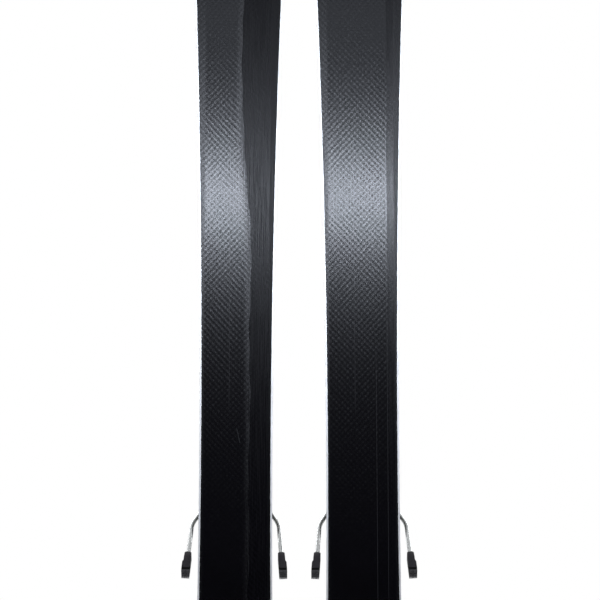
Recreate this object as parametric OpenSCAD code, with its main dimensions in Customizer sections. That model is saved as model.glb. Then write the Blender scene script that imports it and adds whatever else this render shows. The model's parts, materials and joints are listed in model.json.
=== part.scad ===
// A pair of alpine skis with release bindings and ski brakes, standing upright side by side.
// Each ski is drawn lying on its base: X across, Y towards the tip from the narrowest
// point, Z up from the snow. placed() then stands it up, with its base facing -Y.

/* [Pair] */
// Distance between the two skis' centre lines at the waist
pair_spacing = 133.1; // [128:0.1:160]
// Angle by which each ski leans in towards the other, degrees
toe_in = 0.4; // [0:0.1:0.4]
// Height above the waist at which the rack bar touches the topsheets
rack_height = 620; // [500:10:700]

/* [Ski outline] */
// Width at the waist, over the steel edges
waist_w = 76.8; // [72:0.2:82]
// Sidecut radius
sidecut_r = 13900; // [12000:100:18000]
// Distance from the waist to the widest point of the shovel
shovel_y = 760; // [700:5:780]
// Length of the rounded tip beyond the shovel
tip_len = 145; // [110:5:170]
// Distance from the waist back to the widest point of the tail
tail_y = 640; // [580:5:660]
// Length of the rounded tail beyond that point
tail_len = 32; // [25:1:60]

/* [Ski profile] */
// Height of the unweighted ski's arch under the binding
camber = 4; // [0:0.5:8]
// Thickness under the binding
mid_t = 13.5; // [12:0.5:18]
// Thickness at the shovel and tail
end_t = 5.5; // [5:0.1:7]
// Rise of the tip's end above the snow
tip_rise = 50; // [35:1:60]
// Rise of the tail's end above the snow
tail_rise = 5; // [0:0.5:12]

/* [Ski layers] */
// Width of each steel edge
edge_w = 1.9; // [1.6:0.1:2.4]
// Height of each steel edge
edge_h = 2.2; // [2:0.1:2.6]
// Thickness of the running base
base_t = 1.3; // [1.1:0.1:1.6]
// Thickness of the upper laminate
laminate_t = 0.8; // [0.5:0.1:1]
// Thickness of the topsheet
topsheet_t = 0.9; // [0.6:0.1:1.2]
// Width of each sidewall
sidewall_w = 7; // [5:0.5:10]
// Set-back of the topsheet's rim from the steel edge
top_inset = 2.4; // [1.5:0.1:4]

/* [Boot and binding] */
// Distance from the waist to the boot's centre mark
boot_centre = 50; // [20:5:60]
// Boot sole length that the binding is set for
sole_len = 305; // [300:1:310]
// Height of the boot sole above the topsheet
sole_h = 24; // [24:0.5:26]
// Largest turn of a toe wing outwards, degrees
wing_open = 30; // [20:1:30]
// Angle by which the heel head is tipped back when open, degrees
heel_open = 34; // [25:1:34]

/* [Brake] */
// Distance of the brake's pivot behind the waist
brake_pivot_y = 78; // [76:1:79]
// Height of the brake's pivot above the topsheet
brake_pivot_h = 10.5; // [10:0.5:12]
// Angle of the lowered arms below the ski's length, degrees
brake_angle = 45; // [35:1:50]
// Diameter of the brake wire
wire_d = 4.4; // [4:0.1:5]
// Half the length of the wire's straight axle
axle_half = 34; // [34:0.2:35]

/* [Hidden] */
$fn = 48;
SIDES = ["left", "right"];
PARTS = [
    "base", "steel_edges", "sidewalls", "core", "laminates", "topsheet",
    "toe_plate", "toe_screws", "toe_housing", "toe_wing_inner", "toe_wing_outer",
    "toe_wing_pins", "toe_draw_bar", "toe_spring", "toe_release_screw", "toe_slide_plate",
    "heel_track", "heel_screws", "heel_carriage", "heel_worm_screw", "heel_axle",
    "heel_housing", "heel_cup", "heel_lever", "heel_spring", "heel_release_screw",
    "brake_bracket", "brake_wire", "brake_tips", "brake_pedal"
];

// Flat platform that carries the binding
deck_front = 300;
deck_back = -205;
deck_z = camber + mid_t;
core_h = edge_h;
rack_z = bottom_z(rack_height) + thickness(rack_height);
// A margin by which cutting tools overshoot, and the gap between parts that slide
over = 1;
slack = 0.3;

// Boot sole outline
toe_y = boot_centre + sole_len / 2;
heel_y = boot_centre - sole_len / 2;
toe_lug_r = 34.5;
heel_lug_r = 34;
toe_lug_h = 19;
heel_lug_h = 30;

// Mounting screws
screw_r = 2.05;
screw_hole_r = 2.15;
screw_depth = 9.5;
head_r = 4.2;
head_t = 2;
toe_screw_at = [for (x = [-1, 1]) each [[x * 28.5, toe_y + 14.5], [x * 10.5, toe_y + 90.5]]];
track_screw_at = [for (x = [-13, 13]) for (y = [heel_y - 8, heel_y - 84]) [x, y]];
bracket_screw_at = [for (x = [-23, 23]) [x, heel_y + 76]];
heel_screw_at = concat(track_screw_at, bracket_screw_at);

// Toe unit, along Y from the boot's toe end
toe_plate_t = 5;
pedestal_top = sole_h - 5;
housing_back = toe_y + 8;
housing_front = toe_y + 86;
slot_front = toe_y + 26.5;
slot_low = sole_h + 2.2;
slot_high = sole_h + 14.3;
barrel_z = sole_h + 7;
wing_pin_x = 20;
wing_pin_y = toe_y + 14.5;
wing_pin_r = 2.5;
wing_low = sole_h + 2.5;
wing_mid = sole_h + 13.9;
wing_lip = sole_h + toe_lug_h + 2;
wing_top = wing_lip + 4;
spring_bore_r = 11;

// Heel unit, along Y from the boot's heel end
axle_y = heel_y - 25.5;
axle_z = sole_h;
axle_r = 3;
worm_z = 8.9;
worm_pitch = 3;
rail_in = 19.5;
rail_out = 27;
barrel_y = axle_y - 60;
heel_barrel_z = sole_h + 15;
lever_y = axle_y - 32;
lever_z = heel_barrel_z + 6;
trunnion_r = 4;

// Ski shape ---------------------------------------------------------------------------

function ease(t) = let (u = min(1, max(0, t))) u * u * (3 - 2 * u);
// 1 over the deck, falling smoothly to 0 at the shovel and the tail
function middle(y) = min(
    ease((shovel_y - y) / (shovel_y - deck_front)),
    ease((y + tail_y) / (deck_back + tail_y))
);
function end_curve(y) =
    y > shovel_y ? tip_rise * pow((y - shovel_y) / tip_len, 2.2)
    : y < -tail_y ? tail_rise * pow((-tail_y - y) / tail_len, 2)
    : 0;
function bottom_z(y) = camber * middle(y) + end_curve(y);
function thickness(y) = end_t + (mid_t - end_t) * middle(y);
function half_w(y) = waist_w / 2 + y * y / (2 * sidecut_r);

side_steps = 28;
tip_steps = 14;
tail_steps = 7;
// Exponents that square the rounded ends off slightly
tip_power = 0.84;
tail_power = 0.62;
side_ys = [for (i = [0:side_steps]) -tail_y + i * (shovel_y + tail_y) / side_steps];
tip_ys = [for (i = [1:tip_steps]) shovel_y + tip_len * i / tip_steps];
tail_ys = [for (i = [tail_steps:-1:1]) -tail_y - tail_len * i / tail_steps];
profile_ys = concat(tail_ys, side_ys, tip_ys);

// One rounded end as a quarter of a squared circle, from its side to its middle
function end_arc(w, l, power, steps) = [
    for (i = [1:steps]) let (a = 90 * i / steps) [w * pow(cos(a), power), l * pow(sin(a), power)]
];
// Half of the outline, from the tail's middle up the +X side to the tip's middle
function half_outline(inset) = let (
    tail = end_arc(half_w(tail_y) - inset, tail_len - inset, tail_power, tail_steps),
    tip = end_arc(half_w(shovel_y) - inset, tip_len - inset, tip_power, tip_steps)
) concat(
    [for (i = [tail_steps - 1:-1:0]) [tail[i][0], -tail_y - tail[i][1]]],
    [for (y = side_ys) [half_w(y) - inset, y]],
    [for (p = tip) [p[0], shovel_y + p[1]]]
);
function mirrored(points) = [for (i = [len(points) - 2:-1:1]) [-points[i][0], points[i][1]]];

module outline(inset) {
    half = half_outline(inset);
    polygon(concat(half, mirrored(half)));
}

// The ski's shape between two heights, each counted from the base or from the topsheet
module slab(inset, low, high, low_from_top = false, high_from_top = false) {
    lower = [for (y = profile_ys) [y, bottom_z(y) + low + (low_from_top ? thickness(y) : 0)]];
    upper = [for (y = profile_ys) [y, bottom_z(y) + high + (high_from_top ? thickness(y) : 0)]];
    back = [for (i = [len(upper) - 1:-1:0]) upper[i]];
    intersection() {
        translate([0, 0, -over]) linear_extrude(tip_rise + mid_t + 4 * over) outline(inset);
        rotate([90, 0, 90]) linear_extrude(3 * waist_w, center = true) polygon(concat(lower, back));
    }
}

// What two strips that meet at the tip and tail leave out: the middle, and the joints
module strip_cut(inset) {
    joint_w = 0.5;
    translate([0, 0, -2 * over]) linear_extrude(tip_rise + mid_t + 6 * over) outline(inset);
    translate([-joint_w / 2, -tail_y - 2 * tail_len, -2 * over])
        cube([joint_w, tail_y + shovel_y + 4 * tip_len, tip_rise + mid_t + 6 * over]);
}

module screw_holes() {
    for (p = concat(toe_screw_at, heel_screw_at))
        translate([p[0], p[1], deck_z - screw_depth - over])
            cylinder(r = screw_hole_r, h = screw_depth + 2 * over);
}

// Ski parts -----------------------------------------------------------------------------

module base() color("#101114") slab(edge_w, 0, base_t);

module steel_edges() color("#c8ccd0") difference() {
    slab(0, 0, edge_h);
    strip_cut(edge_w);
}

module sidewalls() color("#1b1c1f") difference() {
    slab(0.4, core_h, -laminate_t - topsheet_t, high_from_top = true);
    strip_cut(sidewall_w);
}

module core() color("#c9a46a") difference() {
    slab(sidewall_w, core_h, -laminate_t - topsheet_t, high_from_top = true);
    screw_holes();
}

module laminates() color("#b8bfae") {
    slab(edge_w, base_t, core_h);
    difference() {
        slab(top_inset, -laminate_t - topsheet_t, -topsheet_t, true, true);
        screw_holes();
    }
}

module topsheet() color("#2b2f36") difference() {
    slab(top_inset, -topsheet_t, 0, true, true);
    screw_holes();
}

// Binding helpers -----------------------------------------------------------------------

module on_deck() translate([0, 0, deck_z]) children();

// A rectangle with round corners, centred on X, from y0 to y1
module round_rect(w, y0, y1, r) {
    translate([-w / 2 + r, y0]) square([w - 2 * r, y1 - y0]);
    translate([-w / 2, y0 + r]) square([w, y1 - y0 - 2 * r]);
    for (x = [-w / 2 + r, w / 2 - r]) for (y = [y0 + r, y1 - r]) translate([x, y]) circle(r);
}

module round_plate(w, y0, y1, z0, z1, r) {
    translate([0, 0, z0]) linear_extrude(z1 - z0) round_rect(w, y0, y1, r);
}

// A block centred on X
module block(w, y0, y1, z0, z1) translate([-w / 2, y0, z0]) cube([w, y1 - y0, z1 - z0]);

// A cylinder along Y, and one along X
module along_y(r, y0, y1, z) translate([0, y0, z]) rotate([-90, 0, 0]) cylinder(r = r, h = y1 - y0);
module along_x(r, x0, x1, y, z) translate([x0, y, z]) rotate([0, 90, 0]) cylinder(r = r, h = x1 - x0);

// A side view in Y and Z, drawn out to a width across X
module side_view(w, points) {
    rotate([90, 0, 90]) linear_extrude(w, center = true) polygon(points);
}

// Part of a ring round (0, y), between two angles from the Y axis on the +X side
module ring_part(y, r0, r1, a0, a1, z0, z1) {
    far = 2 * r1;
    translate([0, y, z0]) linear_extrude(z1 - z0) intersection() {
        difference() {
            circle(r1, $fn = 96);
            circle(r0, $fn = 96);
        }
        polygon([[0, 0], far * [sin(a0), cos(a0)], far * [sin((a0 + a1) / 2), cos((a0 + a1) / 2)],
            far * [sin(a1), cos(a1)]]);
    }
}

// A screw with a cross recess, its head's underside at z
module mounting_screw(z) {
    recess_w = 1.4;
    difference() {
        union() {
            translate([0, 0, z]) cylinder(r = head_r, h = head_t);
            translate([0, 0, -screw_depth]) cylinder(r = screw_r, h = screw_depth + z);
        }
        for (turn = [0, 90]) rotate(turn) translate([-head_r * 0.6, -recess_w / 2, z + head_t / 2])
            cube([head_r * 1.2, recess_w, head_t]);
    }
}

module mounting_screws(at, z) on_deck() for (p = at) translate([p[0], p[1], 0]) mounting_screw(z);

// Counterbores that seat the screws' heads
module screw_seats(at, z) for (p = at) translate([p[0], p[1], 0]) {
    translate([0, 0, -over]) cylinder(r = screw_hole_r, h = z + 2 * over);
    translate([0, 0, z]) cylinder(r = head_r + slack, h = 20);
}

// One closed tube through rings of points, each ring in the same order
module tube(rings) {
    sides = len(rings[0]);
    last = len(rings) - 1;
    walls = [for (i = [0:last - 1]) for (k = [0:sides - 1])
        let (a = i * sides + k, b = i * sides + (k + 1) % sides) each
            [[a, b, b + sides], [a, b + sides, a + sides]]];
    caps = [[for (k = [sides - 1:-1:0]) k], [for (k = [0:sides - 1]) last * sides + k]];
    polyhedron([for (ring = rings) each ring], concat(walls, caps));
}

// A helical wire along Y
module coil(r, wire_r, y0, y1, z, turns) {
    sides = 6;
    turn_steps = 14;
    steps = turn_steps * turns;
    pitch_y = (y1 - y0 - 2 * wire_r) / steps;
    tube([for (i = [0:steps]) let (a = 360 * i / turn_steps) [
        for (k = [0:sides - 1]) let (b = 360 * k / sides, q = r + wire_r * cos(b))
            [q * cos(a), y0 + wire_r + i * pitch_y + wire_r * sin(b), z + q * sin(a)]
    ]]);
}

// Toe unit ------------------------------------------------------------------------------

plate_head_z = toe_plate_t - head_t;
groove_w = 12.6;
groove_z = pedestal_top - 5;
slide_mid = toe_y - 14;

module toe_plate() color("#26282c") on_deck() difference() {
    union() {
        round_plate(72, toe_y - 34, toe_y + 96, 0, toe_plate_t, 9);
        round_plate(66, toe_y - 30, toe_y + 2, 0, pedestal_top, 5);
    }
    block(80, slide_mid - groove_w / 2, slide_mid + groove_w / 2, groove_z, sole_h);
    for (x = [-1, 1]) translate([x * 21, 0, 0])
        block(14, toe_y - 28, toe_y - 22, toe_plate_t, sole_h);
    screw_seats(toe_screw_at, plate_head_z);
}

module toe_screws() color("#d0d2d4") mounting_screws(toe_screw_at, plate_head_z);

module housing_hood() {
    intersection() {
        side_view(60, [
            [housing_back, toe_plate_t], [housing_back, wing_top - 2], [toe_y + 12, wing_top],
            [toe_y + 42, wing_top + 1.5], [toe_y + 64, wing_top - 0.5], [toe_y + 79, wing_top - 4],
            [housing_front, sole_h + 15], [housing_front, toe_plate_t]
        ]);
        linear_extrude(80) polygon([
            for (side = [1, -1]) each let (edge = [
                [24, housing_back], [27, toe_y + 20], [27, toe_y + 34], [23.5, toe_y + 58],
                [19, toe_y + 76], [14, housing_front]
            ]) [for (i = [0:5]) let (p = edge[side > 0 ? i : 5 - i]) [side * p[0], p[1]]]
        ]);
        translate([0, housing_front + over, 0]) rotate([90, 0, 0])
            linear_extrude(housing_front - housing_back + 2 * over)
                round_rect(54, -20, wing_top + 2, 13);
    }
}

module toe_housing() color("#1c1d20") on_deck() difference() {
    housing_hood();
    block(80, housing_back - over, slot_front, slot_low, slot_high);
    along_y(spring_bore_r, toe_y + 33.5, toe_y + 78.5, barrel_z);
    along_y(7.5, toe_y + 78, housing_front + over, barrel_z);
    along_y(3.3, slot_front - over, toe_y + 34, barrel_z);
    block(7, toe_y + 50, toe_y + 68, barrel_z, wing_top + 5);
    for (x = [-1, 1]) translate([x * wing_pin_x, wing_pin_y, sole_h - 3.5])
        cylinder(r = wing_pin_r + 0.05, h = 25.2);
    for (x = [-1, 1]) for (y = [38, 45, 52]) translate([x * 27.5, toe_y + y, sole_h - 6])
        rotate([0, 0, x * -8]) block(3, -2, 2, -8, 22);
}

// One wing on the +X side: its hub, its web, the curved arm beside the boot and the lip over it
module wing() {
    arc_y = toe_y - toe_lug_r;
    r_in = toe_lug_r + 1.1;
    r_out = toe_lug_r + 8.5;
    difference() {
        union() {
            translate([wing_pin_x, wing_pin_y, wing_low]) cylinder(r = 7.5, h = wing_mid - wing_low);
            translate([0, 0, wing_low]) linear_extrude(wing_mid - wing_low) polygon([
                [wing_pin_x - 6.5, wing_pin_y + 2], [wing_pin_x - 6.5, toe_y + 2.5],
                [wing_pin_x + 8, toe_y - 2.5], [wing_pin_x + 7.4, wing_pin_y]
            ]);
            translate([0, 0, wing_low + 1.5]) linear_extrude(wing_mid - wing_low - 3) polygon([
                [5, wing_pin_y - 1.5], [wing_pin_x, wing_pin_y - 3],
                [wing_pin_x, wing_pin_y + 4], [5, wing_pin_y + 3]
            ]);
            ring_part(arc_y, r_in, r_out, 22, 62, wing_low, wing_top);
            ring_part(arc_y, toe_lug_r - 8, r_out, 27, 58, wing_lip, wing_top);
        }
        translate([wing_pin_x, wing_pin_y, wing_low - over])
            cylinder(r = wing_pin_r + 0.06, h = wing_mid);
        translate([0, arc_y, 0]) cylinder(r = r_in, h = wing_lip, $fn = 96);
        for (z = [wing_low + 5, wing_low + 11]) ring_part(arc_y, r_out - 1, r_out + 5, 34, 66, z, z + 2.4);
    }
}

module toe_wing(x_sign) color("#d9dbdd") on_deck() {
    if (x_sign > 0) wing();
    else mirror([1, 0, 0]) wing();
}

module toe_wing_pins() color("#b9bcc0") on_deck() for (x = [-1, 1])
    translate([x * wing_pin_x, wing_pin_y, sole_h - 3]) cylinder(r = wing_pin_r, h = 24.2);

module toe_draw_bar() color("#a7abb0") on_deck() {
    along_y(3, toe_y + 2, toe_y + 74, barrel_z);
    block(18, toe_y + 0.4, toe_y + 3.2, barrel_z - 4, barrel_z + 4);
}

module toe_spring() color("#8f949a") on_deck() coil(8, 1.7, toe_y + 34, toe_y + 72.5, barrel_z, 6);

module toe_release_screw() color("#c9ccd0") on_deck() difference() {
    union() {
        along_y(spring_bore_r - 0.4, toe_y + 74, toe_y + 78, barrel_z);
        along_y(5.5, toe_y + 66, toe_y + 75, barrel_z);
        along_y(7.2, toe_y + 77, housing_front - 0.5, barrel_z);
    }
    along_y(3.15, toe_y + 65, toe_y + 76, barrel_z);
    block(12, housing_front - 3.5, housing_front + over, barrel_z - 1, barrel_z + 1);
}

module toe_slide_plate() color("#e4e5e6") on_deck() difference() {
    union() {
        round_plate(62, slide_mid - 12.5, slide_mid + 12.5, pedestal_top + slack, sole_h, 4);
        block(48, slide_mid - groove_w / 2 + slack, slide_mid + groove_w / 2 - slack,
            groove_z + slack, pedestal_top + 1);
    }
    for (x = [-24:8:24]) translate([x, 0, 0])
        block(1.6, slide_mid - 10, slide_mid - 4.5, sole_h - 0.6, sole_h + over);
}

// Heel unit -----------------------------------------------------------------------------

track_back = heel_y - 93.5;
track_front = heel_y + 14.5;
track_t = 3;
track_head_z = track_t - head_t - 0.1;
rack_teeth = 25;

module heel_track() color("#2a2c30") on_deck() difference() {
    union() {
        round_plate(2 * rail_out, track_back, track_front, 0, track_t, 4);
        for (x = [-1, 1]) translate([x * (rail_out + rail_in + 3) / 2, 0, 0])
            block(rail_out - rail_in - 3, track_back + 5, track_front - 5, track_t - 0.5, 9);
        for (x = [-1, 1]) translate([x * (rail_out + rail_in) / 2, 0, 0])
            block(rail_out - rail_in, track_back + 5, track_front - 5, 6.6, 9);
        block(8, track_back + 5, heel_y - 14, track_t - 0.5, 4.5);
    }
    for (i = [0:rack_teeth - 1])
        block(9, track_back + 6 + i * worm_pitch, track_back + 7.5 + i * worm_pitch, track_t, 6);
    screw_seats(track_screw_at, track_head_z);
}

module heel_screws() color("#d0d2d4") {
    mounting_screws(track_screw_at, track_head_z);
    mounting_screws(bracket_screw_at, track_head_z);
}

// The ear that holds the axle, as a side view
module ear_view() {
    translate([axle_y, axle_z]) circle(9);
    polygon([[axle_y - 13, 7], [axle_y - 9, axle_z], [axle_y + 9, axle_z], [axle_y + 13, 7]]);
}

module heel_carriage() color("#1e1f22") on_deck() difference() {
    union() {
        block(2 * rail_in + 5, heel_y - 69, heel_y - 8, track_t + 0.5, 6.2);
        round_plate(2 * rail_in - 0.7, heel_y - 69, heel_y - 8, track_t + 0.5, 14, 2.4);
        for (x = [-16.25, 16.25]) translate([x, 0, 0]) rotate([90, 0, 90])
            linear_extrude(5.5, center = true) ear_view();
    }
    along_x(axle_r + 0.05, -30, 30, axle_y, axle_z);
    along_y(3.9, heel_y - 66, heel_y - 33, worm_z);
    block(7.8, heel_y - 66, heel_y - 33, 0, worm_z);
    block(10, heel_y - 70, heel_y - 7, 0, 4.9);
    along_y(2.3, heel_y - 34, heel_y - 26, worm_z);
    along_y(4.3, heel_y - 70, heel_y - 65, worm_z);
}

module heel_worm_screw() color("#c4c7cb") on_deck() translate([0, heel_y - 65.5, worm_z])
    rotate([-90, 0, 0]) difference() {
        rotate_extrude() polygon(concat(
            [[0, -7], [4, -7], [4, 0.3], [2.4, 0.6]],
            [for (i = [0:8]) each let (z = 1.6 + i * worm_pitch)
                [[2.4, z], [3.6, z + 0.6], [3.6, z + 1.1], [2.4, z + 1.7]]],
            [[2.2, 29.5], [2.2, 39], [0, 39]]
        ));
        translate([-5, -0.8, -7.5]) cube([10, 1.6, 3]);
    }

module heel_axle() color("#b9bcc0") on_deck() along_x(axle_r, -19.6, 19.6, axle_y, axle_z);

// Turns what is drawn for a closed heel to the open position, about the axle
module tipped_back() {
    translate([0, axle_y, axle_z]) rotate([heel_open, 0, 0]) translate([0, -axle_y, -axle_z]) children();
}

cup_joint = axle_y + 9;

module heel_housing() color("#202125") on_deck() difference() {
    union() {
        along_y(14, barrel_y, axle_y - 4, heel_barrel_z);
        along_y(15, barrel_y, barrel_y + 7, heel_barrel_z);
        along_x(9, -13.2, 13.2, axle_y, axle_z);
        block(26.4, axle_y - 9, cup_joint, axle_z, heel_barrel_z + 3);
        side_view(22, [
            [axle_y - 42, heel_barrel_z - 12], [axle_y - 8, axle_z - 2], [axle_y, axle_z + 8],
            [axle_y - 8, heel_barrel_z + 12], [axle_y - 46, heel_barrel_z + 12]
        ]);
        along_x(trunnion_r, -19.4, 19.4, lever_y, lever_z);
        along_x(8, -14.6, 14.6, lever_y, lever_z);
    }
    along_x(axle_r + 0.06, -30, 30, axle_y, axle_z);
    along_y(10.5, barrel_y - over, axle_y - 12, heel_barrel_z);
    block(6, barrel_y + 15, barrel_y + 26, heel_barrel_z, heel_barrel_z + 30);
}

// The cup's neck, cut where it meets the housing
module cup_neck() difference() {
    tipped_back() block(24, heel_y - 24, heel_y - 3.5, sole_h + 6, sole_h + 22);
    block(30, axle_y - 60, cup_joint, 0, heel_barrel_z + 40);
}

module heel_cup() color("#d9dbdd") on_deck() {
    cup_neck();
    tipped_back() difference() {
        union() {
            for (turn = [0, 1])
            mirror([turn, 0, 0]) translate([0, heel_y + heel_lug_r, 0]) mirror([0, 1, 0]) {
                ring_part(0, heel_lug_r + 1, heel_lug_r + 7, -1, 54, sole_h + 2, sole_h + heel_lug_h + 6);
                ring_part(0, heel_lug_r - 8, heel_lug_r + 7, -1, 40, sole_h + heel_lug_h + 2,
                    sole_h + heel_lug_h + 6);
            }
            round_plate(44, heel_y - 6, heel_y + 15, sole_h - 5, sole_h - 0.5, 4);
            block(44, heel_y - 6, heel_y - 1.5, sole_h - 2, sole_h + 8);
        }
        for (x = [-12, 0, 12]) translate([x, 0, 0])
            block(3, heel_y + 2, heel_y + 12, sole_h - 1.5, sole_h + over);
    }
}

module heel_lever() color("#c23b2e") on_deck() difference() {
    union() {
        for (x = [-17.4, 17.4]) translate([x, 0, 0]) {
            along_x(8, -2, 2, lever_y, lever_z);
            side_view(4, [
                [lever_y + 3, lever_z - 7.4], [lever_y, lever_z + 8], [barrel_y - 12, lever_z + 5],
                [barrel_y - 16, lever_z - 2], [barrel_y - 8, lever_z - 6]
            ]);
        }
        intersection() {
            side_view(60, [
                [barrel_y - 3, lever_z + 5.4], [barrel_y - 3, lever_z - 4], [barrel_y - 20, lever_z - 7],
                [barrel_y - 44, lever_z - 16], [barrel_y - 50, lever_z - 14], [barrel_y - 46, lever_z - 8],
                [barrel_y - 22, lever_z + 2], [barrel_y - 10, lever_z + 5.4]
            ]);
            translate([0, 0, -20]) linear_extrude(100) round_rect(38.8, barrel_y - 52, barrel_y + 20, 9);
        }
    }
    along_x(trunnion_r + 0.06, -30, 30, lever_y, lever_z);
    translate([0, barrel_y - 27, lever_z + 9]) sphere(r = 13);
}

module heel_spring() color("#8f949a") on_deck()
    coil(7.8, 1.8, barrel_y + 10.2, axle_y - 12.6, heel_barrel_z, 6);

module heel_release_screw() color("#c9ccd0") on_deck() difference() {
    along_y(10.4, barrel_y + 0.6, barrel_y + 9.6, heel_barrel_z);
    block(16, barrel_y - over, barrel_y + 3, heel_barrel_z - 1.1, heel_barrel_z + 1.1);
}

// Brake ---------------------------------------------------------------------------------

pivot_y = -brake_pivot_y;
pivot_z = brake_pivot_h;
wire_r = wire_d / 2;
bend_r = 5;
sweep_r = 25;
// Half of the wire from the ski's centre line: straight length, turn towards the arm, bend radius
wire_steps = [[axle_half, 62, bend_r], [10, 24, sweep_r]];
foot_run = 55;
foot_at = 36;
foot_l = 28;
foot_depth = 15;
foot_w = 7.1;
foot_step = 1.1;

module brake_bracket() color("#26282c") on_deck() difference() {
    union() {
        round_plate(68, heel_y + 17, heel_y + 85, 0, track_t, 5);
        for (x = [-31, 31]) translate([x, 0, 0]) {
            block(6, pivot_y - 7, pivot_y + 7, 0, pivot_z);
            along_x(7, -3, 3, pivot_y, pivot_z);
        }
        round_plate(26, pivot_y + 14, pivot_y + 43, 0, sole_h - 6.4, 3);
    }
    along_x(wire_r + 0.06, -40, 40, pivot_y, pivot_z);
    screw_seats(bracket_screw_at, track_head_z);
    block(18, pivot_y + 17, pivot_y + 40, sole_h - 14, sole_h);
}

// Coordinates of an arm: X across, Z down along the arm, Y to the arm's front
module arm_frame() {
    translate([0, pivot_y, pivot_z]) rotate([brake_angle, 0, 0]) rotate([90, 0, 0]) children();
}

function heading(a) = [cos(a), sin(a)];
function left_of(a) = [-sin(a), cos(a)];
// Points along half of the wire, as [across, down the arm, heading], with heading 0 across
function wire_points(at, a, steps, i = 0) =
    i == len(steps) ? [[each at, a], [each at + foot_run * heading(a), a]]
    : let (
        step = steps[i],
        from = at + step[0] * heading(a),
        middle = from + sign(step[1]) * step[2] * left_of(a),
        count = ceil(abs(step[1]) / 9),
        arc = [for (k = [0:count]) let (b = a + step[1] * k / count)
            [each middle - sign(step[1]) * step[2] * left_of(b), b]],
        end = arc[count]
    ) concat([for (k = [0:count - 1]) arc[k]], wire_points([end[0], end[1]], end[2], steps, i + 1));

module brake_wire() color("#cdd0d3") on_deck() arm_frame() {
    sides = 20;
    half = wire_points([0, 0], 0, wire_steps);
    back = [for (i = [len(half) - 1:-1:0]) [-half[i][0], half[i][1], -half[i][2]]];
    tube([for (p = concat(back, half)) [
        for (k = [0:sides - 1]) let (b = 360 * k / sides, side = -wire_r * cos(b) * left_of(p[2]))
            [p[0] + side[0], wire_r * sin(b), p[1] + side[1]]
    ]]);
}

// One plastic foot on the +X arm, which the wire enters along Z. Its front faces +Y.
module foot() {
    half_w = foot_w / 2;
    half_d = foot_depth / 2;
    wide = half_w + foot_step;
    difference() {
        intersection() {
            rotate([90, 0, 0]) linear_extrude(foot_depth, center = true) polygon([
                [-half_w, 1.6], [-half_w + 1.6, 0], [half_w - 1.6, 0], [half_w, 1.6],
                [half_w, 14], [wide, 16.5], [wide, foot_l], [-half_w, foot_l]
            ]);
            rotate([90, 0, 90]) linear_extrude(30, center = true) polygon([
                [-4.2, 0], [half_d - 1.5, 0], [half_d, 1.5], [half_d, foot_l - 1],
                [half_d - 1, foot_l], [2 - half_d, foot_l], [-half_d, foot_l - 3], [-half_d, 9]
            ]);
        }
        translate([0, 0, foot_l]) cube([1.8, 30, 1.8], center = true);
        translate([0, half_d, foot_l - 1.8]) cube([30, 1.2, 1.6], center = true);
        translate([0, -1.5, foot_l]) cube([30, 1.4, 1.6], center = true);
        translate([0, 0, -over]) cylinder(r = wire_r + 0.05, h = foot_run - foot_at + over + 0.1);
    }
}

module brake_tips() color("#17181a") on_deck() arm_frame() {
    half = wire_points([0, 0], 0, wire_steps);
    start = half[len(half) - 2];
    for (turn = [0, 1]) mirror([turn, 0, 0])
        translate([start[0], 0, start[1]]) rotate([0, 90 - start[2], 0]) translate([0, 0, foot_at]) foot();
}

module brake_pedal() color("#303237") on_deck()
    translate([0, pivot_y, pivot_z]) rotate([brake_angle, 0, 0]) difference() {
        rise = sole_h - pivot_z;
        union() {
            round_plate(50, 8, 46, rise - 6, rise, 6);
            for (x = [-22.5, 22.5]) translate([x, 0, 0]) {
                along_x(6, -2.5, 2.5, 0, 0);
                side_view(5, [[-2, 5], [5, -3], [18, rise - 5], [9, rise - 5]]);
            }
        }
        along_x(wire_r + 0.05, -40, 40, 0, 0);
        for (y = [13:6:40]) block(40, y, y + 1.6, rise - 0.8, rise + over);
    }

// Placing -------------------------------------------------------------------------------

function x_of(side) = side == "left" ? -1 : 1;

// Stands a ski up: its tip towards +Z, its base towards -Y, the rack bar at the origin
module placed(side) {
    x = x_of(side);
    translate([x * pair_spacing / 2, 0, -rack_height]) rotate([0, -x * toe_in, 0])
        rotate([90, 0, 180]) translate([0, 0, -rack_z]) children();
}

for (side = SIDES) {
    placed(side) base();
    placed(side) steel_edges();
    placed(side) sidewalls();
    placed(side) core();
    placed(side) laminates();
    placed(side) topsheet();
    placed(side) toe_plate();
    placed(side) toe_screws();
    placed(side) toe_housing();
    placed(side) toe_wing(x_of(side));
    placed(side) toe_wing(-x_of(side));
    placed(side) toe_wing_pins();
    placed(side) toe_draw_bar();
    placed(side) toe_spring();
    placed(side) toe_release_screw();
    placed(side) toe_slide_plate();
    placed(side) heel_track();
    placed(side) heel_screws();
    placed(side) heel_carriage();
    placed(side) heel_worm_screw();
    placed(side) heel_axle();
    placed(side) heel_housing();
    placed(side) heel_cup();
    placed(side) heel_lever();
    placed(side) heel_spring();
    placed(side) heel_release_screw();
    placed(side) brake_bracket();
    placed(side) brake_wire();
    placed(side) brake_tips();
    placed(side) brake_pedal();
}
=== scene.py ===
"""Looks for a pair of alpine skis with bindings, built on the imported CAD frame.

Shapes are made in each ski's own frame, in millimetres: X across, Y towards the tip from the
waist, Z up from the snow. ski_matrix() stands them up in the frame's place, in metres.
"""

import json
import math

import bmesh
import bpy
from mathutils import Matrix, Vector

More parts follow.
